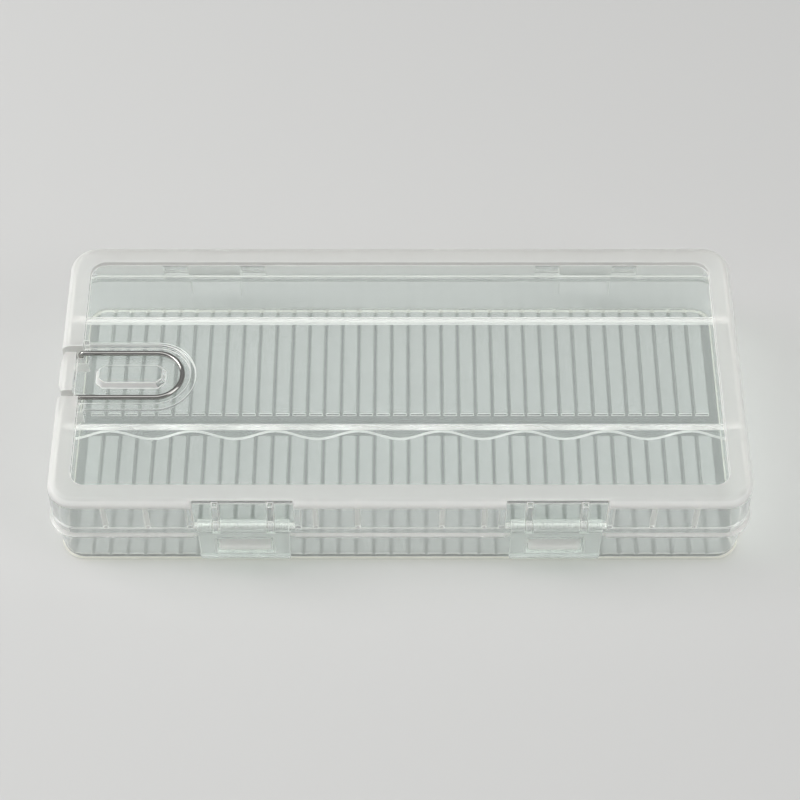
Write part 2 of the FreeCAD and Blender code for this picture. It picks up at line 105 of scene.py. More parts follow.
# Latches, their pockets and the catches.
LATCH_SPACING = 69.6 * MM
LATCH_WIDTH = 20.4 * MM
LATCH_WALL = 1.35 * MM
LATCH_DROP = 11.3 * MM
LATCH_CORNER_RADIUS = 0.6 * MM
LATCH_GAP = 0.2 * MM
LATCH_LIP_STAND = 0.5 * MM
LATCH_LIP_HEIGHT = 0.9 * MM
LATCH_PIN_RADIUS = 0.7 * MM
LATCH_PIN_HEIGHT = 17.6 * MM
LATCH_PIN_STAND = 0.32 * MM
LATCH_BARREL_RADIUS = 1.5 * MM
WINDOW_WIDTH = 12.6 * MM
WINDOW_TOP_DROP = 3.2 * MM
POCKET_SIDE_GAP = 1.1 * MM
POCKET_WALL = 1.4 * MM
LUG_SPACING = 12.2 * MM
LUG_WIDTH = 1.4 * MM
LUG_RADIUS = 1.3 * MM
LUG_WEB_STAND = 0.4 * MM
CATCH_SIDE_GAP = 0.4 * MM
CATCH_STAND = 1.45 * MM
CATCH_NOSE = 1.1 * MM
CATCH_HEIGHT = 3.0 * MM
CATCH_GAP = 0.3 * MM
CATCH_BAR_HEIGHT = 1.9 * MM

# Hinges.
HINGE_SPACING = 90.0 * MM
HINGE_BARREL_RADIUS = 1.7 * MM
HINGE_PIN_RADIUS = 0.8 * MM
HINGE_CLEARANCE = 0.3 * MM
BASE_KNUCKLE_LENGTH = 12.0 * MM
LID_KNUCKLE_LENGTH = 6.0 * MM
KNUCKLE_GAP = 0.3 * MM
KNUCKLE_ARM = 5.0 * MM
RUNNING_GAP = 0.05 * MM
CUT_MARGIN = 1.0 * MM

# The wire hanger and its seat.
WIRE_RADIUS = 0.6 * MM
HANGER_LENGTH = 24.0 * MM
HANGER_HALF_WIDTH = 6.15 * MM
HANGER_Y = -0.4 * MM
HANGER_PIVOT_INSET = 4.2 * MM
HANGER_PIVOT_DROP = 1.9 * MM
HANGER_STUB = 2.1 * MM
HANGER_GAP = 0.2 * MM
PAD_GAP = 1.3 * MM
PAD_WALL = 1.1 * MM
WELL_WALL = 1.0 * MM
SLOT_MOUTH_WIDTH = 4.4 * MM
SLOT_MOUTH_DEPTH = 0.9 * MM
ISLAND_LENGTH = 16.3 * MM
ISLAND_WIDTH = 6.5 * MM
ISLAND_INSET = 4.8 * MM
ISLAND_SLOPE = 1.6 * MM

# How finely round forms are drawn.
CORNER_STEPS = 12
FOOT_STEPS = 6
LID_EDGE_STEPS = 8
SCALLOP_STEPS = 10
PAD_END_STEPS = 16
LATCH_CORNER_STEPS = 4
ELBOW_STEPS = 8
LOOP_STEPS = 48
EDGE_STEPS = 2
ROD_SIDES = 32
BARREL_SIDES = 40
BORE_SIDES = 24
WIRE_SIDES = 24

# Working limits.
NEAR = 0.01 * MM
MERGE_REACH = 2 * MM / 1000
FLAT_ANGLE = math.radians(0.2)
SHARP_ANGLE = math.radians(40)
LEVEL = 0.99
END_CHAMFER = 0.15 * MM

# Places that follow from the frame and the sizes.
SLOPE = math.tan(DRAFT)
HEIGHT = cad_box[1][2]
PANEL_TOP = HEIGHT - RIM_RISE
PANEL_UNDERSIDE = PANEL_TOP - PANEL
LID_BOTTOM = SEAM_HEIGHT + SEAM_GAP
TONGUE_TOP = SEAM_HEIGHT + TONGUE_HEIGHT
REBATE_TOP = TONGUE_TOP + TONGUE_GAP
FLARE_AT_BEAD = (HEIGHT - LID_BOTTOM) * SLOPE + BEAD_STAND
TOP_HALF_X = cad_box[1][0] - FLARE_AT_BEAD
TOP_HALF_Y = 36.0 * MM
LATCH_PIN_Y = -TOP_HALF_Y - (HEIGHT - REBATE_TOP) * SLOPE - LATCH_PIN_STAND
POCKET_Y = LATCH_PIN_Y + LATCH_BARREL_RADIUS + LATCH_GAP
POCKET_FLOOR = LATCH_PIN_HEIGHT - LATCH_BARREL_RADIUS - LATCH_GAP
POCKET_HALF = LATCH_WIDTH / 2 + POCKET_SIDE_GAP
LATCH_FACE_Y = LATCH_PIN_Y - LATCH_BARREL_RADIUS
LATCH_BOTTOM = LATCH_PIN_HEIGHT - LATCH_DROP
WINDOW_BOTTOM = LATCH_BOTTOM + CATCH_BAR_HEIGHT
WINDOW_TOP = LATCH_PIN_HEIGHT - WINDOW_TOP_DROP
LATCH_CENTRES = {"left": -LATCH_SPACING / 2, "right": LATCH_SPACING / 2}
HINGE_Y = TOP_HALF_Y + FLARE_AT_BEAD + HINGE_CLEARANCE + HINGE_BARREL_RADIUS
HINGE_HALF = BASE_KNUCKLE_LENGTH / 2 + KNUCKLE_GAP + LID_KNUCKLE_LENGTH
HINGE_CENTRES = {"left": -HINGE_SPACING / 2, "right": HINGE_SPACING / 2}
WIRE_Z = PANEL_TOP - WIRE_RADIUS
PAD_FLOOR = WIRE_Z - WIRE_RADIUS - HANGER_GAP
PAD_HALF = HANGER_HALF_WIDTH + WIRE_RADIUS + PAD_GAP
PIVOT_X = -TOP_HALF_X + HANGER_PIVOT_INSET
PIVOT_Z = WIRE_Z - HANGER_PIVOT_DROP
LOOP_X = PIVOT_X + HANGER_LENGTH - HANGER_HALF_WIDTH
SLOT_FLOOR = PIVOT_Z - HANGER_PIVOT_DROP - WIRE_RADIUS - HANGER_GAP
SLOT_HALF = WIRE_RADIUS + HANGER_GAP
WELL_INNER_X = PIVOT_X + SLOT_HALF
BAY_X = PIVOT_X - WIRE_RADIUS
RIM_INNER_X = TOP_HALF_X - RIM_WIDTH
RIM_INNER_Y = TOP_HALF_Y - RIM_WIDTH
LATCH_AXIS = (LATCH_PIN_Y, LATCH_PIN_HEIGHT)
HINGE_AXIS = (HINGE_Y, SEAM_HEIGHT)

# Material slots of a moulded piece.
BODY_SLOT = 0
# The edge slot holds a whitish plastic that paints highlights along every rounded edge.
EDGE_SLOT = 1

# Finishes.
CASE_IOR = 1.49
LATCH_IOR = 1.54
CLOUD_GRAIN = 11 * MM
CASE_WAVE = 16 * MM
LATCH_WAVE = 9 * MM
CASE_RUB = 0.5 * MM
LATCH_RUB = 0.4 * MM
RELIEF_HEIGHT = 0.002 * MM

# Floor and camera.
FLOOR_SIZE = 4
CAMERA_PLACE = (0, -0.26992, 0.41337)
CAMERA_TILT = math.radians(34)
CAMERA_LENS = 92.74
CAMERA_SENSOR = 36
CAMERA_NEAREST = 0.01


def lid_flare(z):
    """How far the lid's outer face stands out at height z, from its place at the top."""
    return (HEIGHT - z) * SLOPE


def base_flare(z):
    """How far the base's outer face stands out at height z, from the lid's place at the top."""
    return lid_flare(SEAM_HEIGHT) - BASE_INSET - (SEAM_HEIGHT - z) * SLOPE


# Working on a mesh as at the bench.


def pick(*pieces):
    """Select only these pieces, the first one active."""
    bpy.ops.object.select_all(action="DESELECT")
    for piece in pieces:
        piece.select_set(True)
    bpy.context.view_layer.objects.active = pieces[0]


def edit(piece):
    """Open a piece in edit mode with nothing selected."""
    pick(piece)
    bpy.ops.object.mode_set(mode="EDIT")
    bpy.ops.mesh.select_mode(type="FACE")
    bpy.ops.mesh.select_all(action="DESELECT")


def done():
    """Leave edit mode."""
    bpy.ops.object.mode_set(mode="OBJECT")


def settle(piece, name):
    """Name a new piece and put its place into its mesh."""
    bpy.ops.object.transform_apply(location=True, rotation=True, scale=True)
    piece.name = name
    piece.data.name = name
    return piece


def select(kind, wanted):
    """In edit mode, select only the faces, edges or verts of the open mesh for which wanted holds."""
    bpy.ops.mesh.select_mode(type=kind)
    bpy.ops.mesh.select_all(action="DESELECT")
    mesh = bmesh.from_edit_mesh(bpy.context.edit_object.data)
    parts = {"FACE": mesh.faces, "EDGE": mesh.edges, "VERT": mesh.verts}[kind]
    for part in parts:
        if wanted(part):
            part.select_set(True)
    bmesh.update_edit_mesh(bpy.context.edit_object.data)


def face_at(z, upward):
    """Test for faces that lie level at height z and look up or down."""
    def wanted(face):
        return abs(face.calc_center_median().z - z) < NEAR and face.normal.z * upward > LEVEL
    return wanted


def level_edge(z):
    """Test for edges that lie level at height z."""
    return lambda edge: all(abs(vert.co.z - z) < NEAR for vert in edge.verts)


def upright_edge(edge):
    """Whether an edge stands upright."""
    return abs(edge.verts[0].co.z - edge.verts[1].co.z) > 10 * max(
        abs(edge.verts[0].co.x - edge.verts[1].co.x), abs(edge.verts[0].co.y - edge.verts[1].co.y))


def block(name, x0, x1, y0, y1, z0, z1):
    """Plain block between two corners, to be shaped further."""
    low = Vector((min(x0, x1), min(y0, y1), min(z0, z1)))
    high = Vector((max(x0, x1), max(y0, y1), max(z0, z1)))
    bpy.ops.mesh.primitive_cube_add(size=1, location=(low + high) / 2, scale=high - low)
    return settle(bpy.context.object, name)


def rod(name, radius, start, end, sides=ROD_SIDES):
    """Round bar from start to end."""
    start = Vector(start)
    end = Vector(end)
    turn = (end - start).to_track_quat("Z", "Y").to_euler()
    bpy.ops.mesh.primitive_cylinder_add(vertices=sides, radius=radius, depth=(end - start).length,
                                        location=(start + end) / 2, rotation=turn)
    return settle(bpy.context.object, name)


def rod_along_x(name, radius, x0, x1, axis, sides=ROD_SIDES):
    """Round bar from x0 to x1 about an axis along X, which is given by its y and z."""
    return rod(name, radius, (x0, *axis), (x1, *axis), sides)


def rounded_block(name, half_x, half_y, radius, z0, z1, growth=0.0):
    """Block with round upright corners whose walls stand out by growth at the top."""
    piece = block(name, -half_x, half_x, -half_y, half_y, z0, z1)
    edit(piece)
    select("EDGE", upright_edge)
    bpy.ops.mesh.bevel(offset=radius, segments=CORNER_STEPS, affect="EDGES", clamp_overlap=False)
    spread(z1, half_x, half_y, growth)
    done()
    return piece


def spread(z, half_x, half_y, growth):
    """In edit mode, stand the level faces at height z out by growth on every side."""
    select("VERT", lambda vert: abs(vert.co.z - z) < NEAR)
    bpy.ops.transform.resize(value=((half_x + growth) / half_x, (half_y + growth) / half_y, 1))


def copy_beside(piece, name, shift):
    """Copy of a finished piece, with its own mesh, moved by shift."""
    twin = piece.copy()
    twin.data = piece.data.copy()
    bpy.context.scene.collection.objects.link(twin)
    twin.location = shift
    pick(twin)
    return settle(twin, name)


def joined(pieces):
    """All pieces as one mesh."""
    pick(*pieces)
    if len(pieces) > 1:
        bpy.ops.object.join()
    return pieces[0]


def combine(piece, others, operation):
    """Weld the others onto the piece (UNION) or cut them away from it (DIFFERENCE)."""
    tool = joined(others)
    turn_outwards(tool)
    pick(piece)
    change = piece.modifiers.new("combine", "BOOLEAN")
    change.operation = operation
    change.solver = "EXACT"
    change.use_self = True
    change.object = tool
    bpy.ops.object.modifier_apply(modifier="combine")
    bpy.data.objects.remove(tool)
    return piece


def turn_outwards(piece):
    """Turn every face of a piece outwards."""
    edit(piece)
    bpy.ops.mesh.select_all(action="SELECT")
    bpy.ops.mesh.normals_make_consistent(inside=False)
    done()


def soften(piece):
    """Clean the mesh, round every sharp edge and even out the shading."""
    edit(piece)
    bpy.ops.mesh.select_all(action="SELECT")
    bpy.ops.mesh.remove_doubles(threshold=MERGE_REACH)
    bpy.ops.mesh.dissolve_limited(angle_limit=FLAT_ANGLE)
    done()
    piece.data.materials.clear()
    for _ in (BODY_SLOT, EDGE_SLOT):
        piece.data.materials.append(None)
    rounding = piece.modifiers.new("rounding", "BEVEL")
    # Rounded edges go to the edge slot, whose whitish plastic is a painted highlight.
    rounding.material = EDGE_SLOT
    rounding.width = EDGE_RADIUS
    rounding.segments = EDGE_STEPS
    rounding.limit_method = "ANGLE"
    rounding.angle_limit = SHARP_ANGLE
    rounding.use_clamp_overlap = False
    rounding.miter_outer = "MITER_ARC"
    bpy.ops.object.modifier_apply(modifier="rounding")
    bpy.ops.object.shade_smooth()
    evening = piece.modifiers.new("evening", "WEIGHTED_NORMAL")
    evening.weight = 100
    evening.keep_sharp = False
    bpy.ops.object.modifier_apply(modifier="evening")


# The tray.


def tray_shell():
    """Tub with a drafted wall, a rounded foot and the tongue that the lid closes over."""
    foot = base_flare(0.0)
    seam = base_flare(SEAM_HEIGHT)
    half_x = TOP_HALF_X + foot
    half_y = TOP_HALF_Y + foot
    tub = rounded_block("base_tray_shell", half_x, half_y, CORNER_RADIUS + foot, 0.0, SEAM_HEIGHT,
                        seam - foot)
    edit(tub)
    select("EDGE", level_edge(0.0))
    bpy.ops.mesh.bevel(offset=FOOT_FILLET, segments=FOOT_STEPS, affect="EDGES", clamp_overlap=False)
    select("FACE", face_at(SEAM_HEIGHT, 1))
    bpy.ops.mesh.inset(thickness=WALL - TONGUE_WALL, use_even_offset=True)
    bpy.ops.mesh.extrude_region_move(TRANSFORM_OT_translate={"value": (0, 0, TONGUE_HEIGHT)})
    bpy.ops.mesh.inset(thickness=TONGUE_WALL, use_even_offset=True)
    bpy.ops.mesh.extrude_region_move(TRANSFORM_OT_translate={"value": (0, 0, FLOOR - TONGUE_TOP)})
    inner_x = TOP_HALF_X + seam - WALL
    inner_y = TOP_HALF_Y + seam - WALL
    spread(FLOOR, inner_x, inner_y, base_flare(FLOOR) - seam)
    done()
    return tub


def raise_floor_bars(tub):
    """Two banks of low bars on the floor, with a plain strip between them."""
    reach = TOP_HALF_X - WALL
    count = int(reach / BAR_PITCH - 0.5)
    cuts = [((0, side * BAR_STRIP / 2, 0), (0, 1, 0)) for side in (-1, 1)]
    for index in range(-count, count + 1):
        for side in (-1, 1):
            cuts.append(((index * BAR_PITCH + side * BAR_WIDTH / 2, 0, 0), (1, 0, 0)))
    edit(tub)
    for place, across in cuts:
        select("FACE", face_at(FLOOR, 1))
        bpy.ops.mesh.bisect(plane_co=place, plane_no=across)

    def under_bar(face):
        """Whether a piece of the floor carries a bar."""
        centre = face.calc_center_median()
        along = (centre.x / BAR_PITCH + 0.5) % 1.0 - 0.5
        return (face_at(FLOOR, 1)(face) and abs(along) * BAR_PITCH < BAR_WIDTH / 2 + NEAR
                and abs(centre.y) > BAR_STRIP / 2 and abs(centre.x) < (count + 0.5) * BAR_PITCH)

    select("FACE", under_bar)
    bpy.ops.mesh.extrude_region_move(TRANSFORM_OT_translate={"value": (0, 0, BAR_HEIGHT)})
    done()


def catch(x):
    """Ramped nose that a latch hooks under."""
    half = WINDOW_WIDTH / 2 - CATCH_SIDE_GAP
    bottom = WINDOW_BOTTOM + CATCH_GAP
    top = bottom + CATCH_HEIGHT
    face = -TOP_HALF_Y - base_flare(SEAM_HEIGHT)
    root = face + WALL / 2
    nose = block("catch", x - half, x + half, root, face - CATCH_STAND, bottom, top)
    edit(nose)
    bpy.ops.mesh.select_all(action="SELECT")
    bpy.ops.mesh.bisect(plane_co=(0, 0, bottom + CATCH_NOSE), plane_no=(0, 0, 1))
    select("VERT", lambda vert: vert.co.z > top - NEAR and vert.co.y < face)
    bpy.ops.transform.translate(value=(0, CATCH_STAND, 0))
    done()
    return nose


def knuckle(x0, x1, wall_y, up):
    """Hinge barrel with a slanting arm to the wall, above the axis or below it."""
    barrel = rod_along_x("barrel", HINGE_BARREL_RADIUS, x0, x1, HINGE_AXIS)
    level = SEAM_HEIGHT if up < 0 else LID_BOTTOM
    arm_end = SEAM_HEIGHT + up * (HINGE_BARREL_RADIUS + KNUCKLE_ARM)
    outer_y = HINGE_Y + HINGE_BARREL_RADIUS
    share = (outer_y - HINGE_Y) / (outer_y - wall_y)
    arm = block("arm", x0, x1, wall_y, HINGE_Y, level, arm_end)
    edit(arm)
    select("VERT", lambda vert: abs(vert.co.z - arm_end) < NEAR and vert.co.y > HINGE_Y - NEAR)
    bpy.ops.transform.translate(value=(0, 0, (share - 1) * (arm_end - level)))
    done()
    return [barrel, arm]


def base_tray():
    """Lower half of the case."""
    tub = tray_shell()
    raise_floor_bars(tub)
    additions = [catch(x) for x in LATCH_CENTRES.values()]
    wall_y = TOP_HALF_Y + base_flare(0.0) - WALL / 2
    for x in HINGE_CENTRES.values():
        additions += knuckle(x - BASE_KNUCKLE_LENGTH / 2, x + BASE_KNUCKLE_LENGTH / 2, wall_y, -1)
    combine(tub, additions, "UNION")
    combine(tub, [hinge_bore(x) for x in HINGE_CENTRES.values()], "DIFFERENCE")
    soften(tub)
    return tub


def hinge_bore(x):
    """Space for a hinge pin through its knuckles."""
    reach = HINGE_HALF + CUT_MARGIN
    return rod_along_x("bore", HINGE_PIN_RADIUS + RUNNING_GAP, x - reach, x + reach, HINGE_AXIS, BORE_SIDES)


# The lid.


def lid_shell():
    """Drafted cover with a rounded top edge, a bead at its foot, a rebate and a cavity."""
    foot = lid_flare(LID_BOTTOM)
    half_x = TOP_HALF_X + foot
    half_y = TOP_HALF_Y + foot
    shell = rounded_block("lid_cover_shell", half_x, half_y, CORNER_RADIUS + foot, LID_BOTTOM, HEIGHT, -foot)
    edit(shell)
    select("EDGE", level_edge(HEIGHT))
    bpy.ops.mesh.bevel(offset=LID_FILLET, segments=LID_EDGE_STEPS, affect="EDGES", clamp_overlap=False)
    for z in (LID_BOTTOM + BEAD_LAND, LID_BOTTOM + BEAD_HEIGHT):
        bpy.ops.mesh.select_all(action="SELECT")
        bpy.ops.mesh.bisect(plane_co=(0, 0, z), plane_no=(0, 0, 1))
    for z in (LID_BOTTOM, LID_BOTTOM + BEAD_LAND):
        spread(z, TOP_HALF_X + lid_flare(z), TOP_HALF_Y + lid_flare(z), FLARE_AT_BEAD - lid_flare(z))
    tongue = base_flare(SEAM_HEIGHT) - WALL + TONGUE_WALL + TONGUE_GAP
    select("FACE", face_at(LID_BOTTOM, -1))
    bpy.ops.mesh.inset(thickness=FLARE_AT_BEAD - tongue, use_even_offset=True)
    bpy.ops.mesh.extrude_region_move(TRANSFORM_OT_translate={"value": (0, 0, REBATE_TOP - LID_BOTTOM)})
    inner = lid_flare(REBATE_TOP) - WALL
    bpy.ops.mesh.inset(thickness=tongue - inner, use_even_offset=True)
    bpy.ops.mesh.extrude_region_move(TRANSFORM_OT_translate={"value": (0, 0, PANEL_UNDERSIDE - REBATE_TOP)})
    spread(PANEL_UNDERSIDE, TOP_HALF_X + inner, TOP_HALF_Y + inner, lid_flare(PANEL_UNDERSIDE) - WALL - inner)
    done()
    return shell


def hang_ribs(shell):
    """Straight rib and scalloped rib, drawn down from the panel's underside."""
    edit(shell)
    for y, width in ((STRAIGHT_RIB_Y, STRAIGHT_RIB_WIDTH), (SCALLOP_RIB_Y, SCALLOP_RIB_WIDTH)):
        for side in (-1, 1):
            select("FACE", face_at(PANEL_UNDERSIDE, -1))
            bpy.ops.mesh.bisect(plane_co=(0, y + side * width / 2, 0), plane_no=(0, 1, 0))
    strip = strip_at(SCALLOP_RIB_Y, SCALLOP_RIB_WIDTH)
    step = CELL_PITCH / SCALLOP_STEPS
    steps = int((TOP_HALF_X - WALL) / step)
    for index in range(-steps, steps + 1):
        select("FACE", strip)
        bpy.ops.mesh.bisect(plane_co=(index * step, 0, 0), plane_no=(1, 0, 0))
    select("FACE", strip_at(STRAIGHT_RIB_Y, STRAIGHT_RIB_WIDTH))
    bpy.ops.mesh.extrude_region_move(TRANSFORM_OT_translate={"value": (0, 0, -STRAIGHT_RIB_DEPTH)})
    select("FACE", strip)
    bpy.ops.mesh.extrude_region_move(TRANSFORM_OT_translate={"value": (0, 0, -SCALLOP_CREST_DEPTH)})
    crest = PANEL_UNDERSIDE - SCALLOP_CREST_DEPTH
    mesh = bmesh.from_edit_mesh(shell.data)
    for vert in mesh.verts:
        if abs(vert.co.z - crest) < NEAR and abs(vert.co.y - SCALLOP_RIB_Y) < SCALLOP_RIB_WIDTH / 2 + NEAR:
            wave = (1 + math.cos(2 * math.pi * vert.co.x / CELL_PITCH)) / 2
            vert.co.z -= (SCALLOP_TOOTH_DEPTH - SCALLOP_CREST_DEPTH) * wave
    bmesh.update_edit_mesh(shell.data)
    done()


def strip_at(y, width):
    """Test for faces of the panel's underside that lie in a strip along X."""
    under = face_at(PANEL_UNDERSIDE, -1)
    return lambda face: under(face) and abs(face.calc_center_median().y - y) < width / 2


def stop_ribs():
    """Short upright ribs inside the front wall, two to each side of a cell's end."""
    ribs = []
    front = -TOP_HALF_Y - lid_flare(REBATE_TOP) + WALL / 2
    back = -TOP_HALF_Y - lid_flare(PANEL_UNDERSIDE) + WALL + STOP_RIB_DEPTH
    for slot in STOP_RIB_SLOTS:
        for side in (-1, 1):
            x = side * slot * CELL_PITCH / 2
            ribs.append(block("stop_rib", x - STOP_RIB_WIDTH / 2, x + STOP_RIB_WIDTH / 2, front, back,
                              REBATE_TOP, PANEL_UNDERSIDE + PANEL / 2))
    return ribs


def pocket_back(x):
    """Thickening that closes a latch pocket to the inside."""
    half = POCKET_HALF + POCKET_WALL
    front = -TOP_HALF_Y - lid_flare(REBATE_TOP) + WALL / 2
    return block("pocket_back", x - half, x + half, front, POCKET_Y + POCKET_WALL,
                 REBATE_TOP, PANEL_UNDERSIDE + PANEL / 2)


def latch_pocket(x):
    """Space for a latch, open to the front and the top, and through the bead below."""
    wall = -TOP_HALF_Y - lid_flare(LID_BOTTOM)
    front = wall - BEAD_STAND - CUT_MARGIN
    upper = block("pocket", x - POCKET_HALF, x + POCKET_HALF, front, POCKET_Y, POCKET_FLOOR,
                  HEIGHT + CUT_MARGIN)
    lower = block("bead_gap", x - POCKET_HALF, x + POCKET_HALF, front, wall, LID_BOTTOM - CUT_MARGIN,
                  POCKET_FLOOR + NEAR)
    return [upper, lower]


def latch_lugs(x):
    """Two ears on webs in a latch pocket, which carry the latch's pin."""
    lugs = []
    for side in (-1, 1):
        x0 = x + side * LUG_SPACING / 2 - LUG_WIDTH / 2
        x1 = x0 + LUG_WIDTH
        lugs.append(block("web", x0, x1, LATCH_PIN_Y + LUG_WEB_STAND, POCKET_Y + POCKET_WALL / 2,
                          POCKET_FLOOR - NEAR, HEIGHT - LID_FILLET / 2))
        lugs.append(rod_along_x("ear", LUG_RADIUS, x0, x1, LATCH_AXIS))
    return lugs


def latch_pin_bore(x):
    """Space for a latch's pin."""
    reach = LATCH_WIDTH / 2 + CUT_MARGIN
    return rod_along_x("bore", LATCH_PIN_RADIUS + RUNNING_GAP, x - reach, x + reach, LATCH_AXIS, BORE_SIDES)


def lid_knuckles(x):
    """The lid's two outer knuckles of one hinge."""
    wall_y = TOP_HALF_Y + lid_flare(REBATE_TOP) - TONGUE_WALL
    start = BASE_KNUCKLE_LENGTH / 2 + KNUCKLE_GAP
    return knuckle(x + start, x + HINGE_HALF, wall_y, 1) + knuckle(x - HINGE_HALF, x - start, wall_y, 1)


def round_ended_slab(name, half_width, x_end, z0, z1):
    """Slab round the hanger, square at the case's end and half round at the other."""
    far = LOOP_X + half_width
    slab = block(name, x_end, far, HANGER_Y - half_width, HANGER_Y + half_width, z0, z1)
    edit(slab)
    select("EDGE", lambda edge: upright_edge(edge) and edge.verts[0].co.x > far - NEAR)
    bpy.ops.mesh.bevel(offset=half_width - NEAR, segments=PAD_END_STEPS, affect="EDGES", clamp_overlap=False)
    done()
    return slab


def hanger_seat_walls():
    """Material under the panel that closes the hanger's pad and its two wells."""
    walls = [round_ended_slab("pad_wall", PAD_HALF + PAD_WALL, BAY_X - PAD_WALL, PAD_FLOOR - PAD_WALL,
                              PANEL_TOP - PANEL / 2)]
    for side in (-1, 1):
        y = HANGER_Y + side * HANGER_HALF_WIDTH
        near = y - side * (SLOT_HALF + WELL_WALL)
        far = y + side * (HANGER_STUB + WIRE_RADIUS + WELL_WALL)
        walls.append(block("well", -TOP_HALF_X + WALL / 2, WELL_INNER_X + WELL_WALL, near, far,
                           SLOT_FLOOR - WELL_WALL, PANEL_TOP - PANEL / 2))
    return walls


def hanger_island():
    """Raised island inside the hanger's loop, with sloping sides and cut corners."""
    x0 = -RIM_INNER_X + ISLAND_INSET - ISLAND_SLOPE
    x1 = x0 + ISLAND_LENGTH
    island = block("island", x0, x1, HANGER_Y - ISLAND_WIDTH / 2, HANGER_Y + ISLAND_WIDTH / 2,
                   PAD_FLOOR - PAD_WALL / 2, PANEL_TOP)
    edit(island)
    select("EDGE", upright_edge)
    bpy.ops.mesh.bevel(offset=ISLAND_SLOPE, segments=1, affect="EDGES", clamp_overlap=False)
    select("VERT", lambda vert: vert.co.z > PANEL_TOP - NEAR)
    bpy.ops.transform.resize(value=(1 - ISLAND_SLOPE / ISLAND_LENGTH, 1 - ISLAND_SLOPE / ISLAND_WIDTH, 1))
    done()
    return island


def hanger_seat_cuts():
    """Pad, a bay between the elbows, and for each leg a slot, its flared mouth and a bore for the stub."""
    cuts = [round_ended_slab("pad", PAD_HALF, -RIM_INNER_X, PAD_FLOOR, HEIGHT + CUT_MARGIN),
            block("bay", BAY_X, -RIM_INNER_X + NEAR, HANGER_Y - HANGER_HALF_WIDTH,
                  HANGER_Y + HANGER_HALF_WIDTH, PAD_FLOOR, HEIGHT + CUT_MARGIN)]
    outside = -TOP_HALF_X - lid_flare(SLOT_FLOOR) - CUT_MARGIN
    for side in (-1, 1):
        y = HANGER_Y + side * HANGER_HALF_WIDTH
        cuts.append(block("slot", outside, WELL_INNER_X, y - SLOT_HALF, y + SLOT_HALF, SLOT_FLOOR,
                          HEIGHT + CUT_MARGIN))
        cuts.append(slot_mouth(y, side, outside))
        cuts.append(rod("stub_bore", WIRE_RADIUS + RUNNING_GAP, (PIVOT_X, y, PIVOT_Z),
                        (PIVOT_X, y + side * (HANGER_STUB + HANGER_GAP), PIVOT_Z), BORE_SIDES))
    return cuts


def slot_mouth(y, side, outside):
    """Flared outer end of a leg's slot, wider towards the middle of the case's end."""
    edge = y + side * SLOT_HALF
    wall = -TOP_HALF_X + SLOT_MOUTH_DEPTH
    mouth = block("mouth", outside, wall, edge, edge - side * SLOT_MOUTH_WIDTH, SLOT_FLOOR,
                  HEIGHT + CUT_MARGIN)
    edit(mouth)
    bpy.ops.mesh.select_all(action="SELECT")
    bpy.ops.mesh.bisect(plane_co=(-TOP_HALF_X, 0, 0), plane_no=(1, 0, 0))
    select("VERT", lambda vert: vert.co.x > wall - NEAR and abs(vert.co.y - edge) > SLOT_HALF * 3)
    bpy.ops.transform.translate(value=(0, side * (SLOT_MOUTH_WIDTH - 2 * SLOT_HALF), 0))
    done()
    return mouth


def lid_cover():
    """Upper half of the case."""
    shell = lid_shell()
    hang_ribs(shell)
    additions = stop_ribs() + hanger_seat_walls() + [pocket_back(x) for x in LATCH_CENTRES.values()]
    for x in HINGE_CENTRES.values():
        additions += lid_knuckles(x)
    combine(shell, additions, "UNION")

    dish = rounded_block("dish", RIM_INNER_X, RIM_INNER_Y, RIM_CORNER_RADIUS, PANEL_TOP, HEIGHT + CUT_MARGIN)
    cuts = [dish] + hanger_seat_cuts() + [hinge_bore(x) for x in HINGE_CENTRES.values()]
    for x in LATCH_CENTRES.values():
        cuts += latch_pocket(x)
    combine(shell, cuts, "DIFFERENCE")

    ears = []
    for x in LATCH_CENTRES.values():
        ears += latch_lugs(x)
    combine(shell, ears + [hanger_island()], "UNION")
    combine(shell, [latch_pin_bore(x) for x in LATCH_CENTRES.values()], "DIFFERENCE")
    soften(shell)
    return shell


# The latches, the pins and the hanger.


def latch_plate(x):
    """Latch plate with a window for the catch and a finger lip along its foot."""
    half = LATCH_WIDTH / 2
    back = LATCH_FACE_Y + LATCH_WALL
    lip_top = LATCH_BOTTOM + LATCH_LIP_HEIGHT
    plate = block("plate", x - half, x + half, LATCH_FACE_Y, back, LATCH_BOTTOM, LATCH_PIN_HEIGHT)
    edit(plate)
    for z in (lip_top, lip_top + LATCH_LIP_STAND):
        bpy.ops.mesh.select_all(action="SELECT")
        bpy.ops.mesh.bisect(plane_co=(0, 0, z), plane_no=(0, 0, 1))
    select("VERT", lambda vert: vert.co.z < lip_top + NEAR and vert.co.y < LATCH_FACE_Y + NEAR)
    bpy.ops.transform.translate(value=(0, -LATCH_LIP_STAND, 0))
    select("EDGE", lambda edge: level_edge(LATCH_BOTTOM)(edge)
           and abs(edge.verts[0].co.x - edge.verts[1].co.x) < NEAR)
    bpy.ops.mesh.bevel(offset=LATCH_CORNER_RADIUS, segments=LATCH_CORNER_STEPS, affect="EDGES")
    done()
    window = block("window", x - WINDOW_WIDTH / 2, x + WINDOW_WIDTH / 2, LATCH_FACE_Y - CUT_MARGIN,
                   back + CUT_MARGIN, WINDOW_BOTTOM, WINDOW_TOP)
    return combine(plate, [window], "DIFFERENCE")


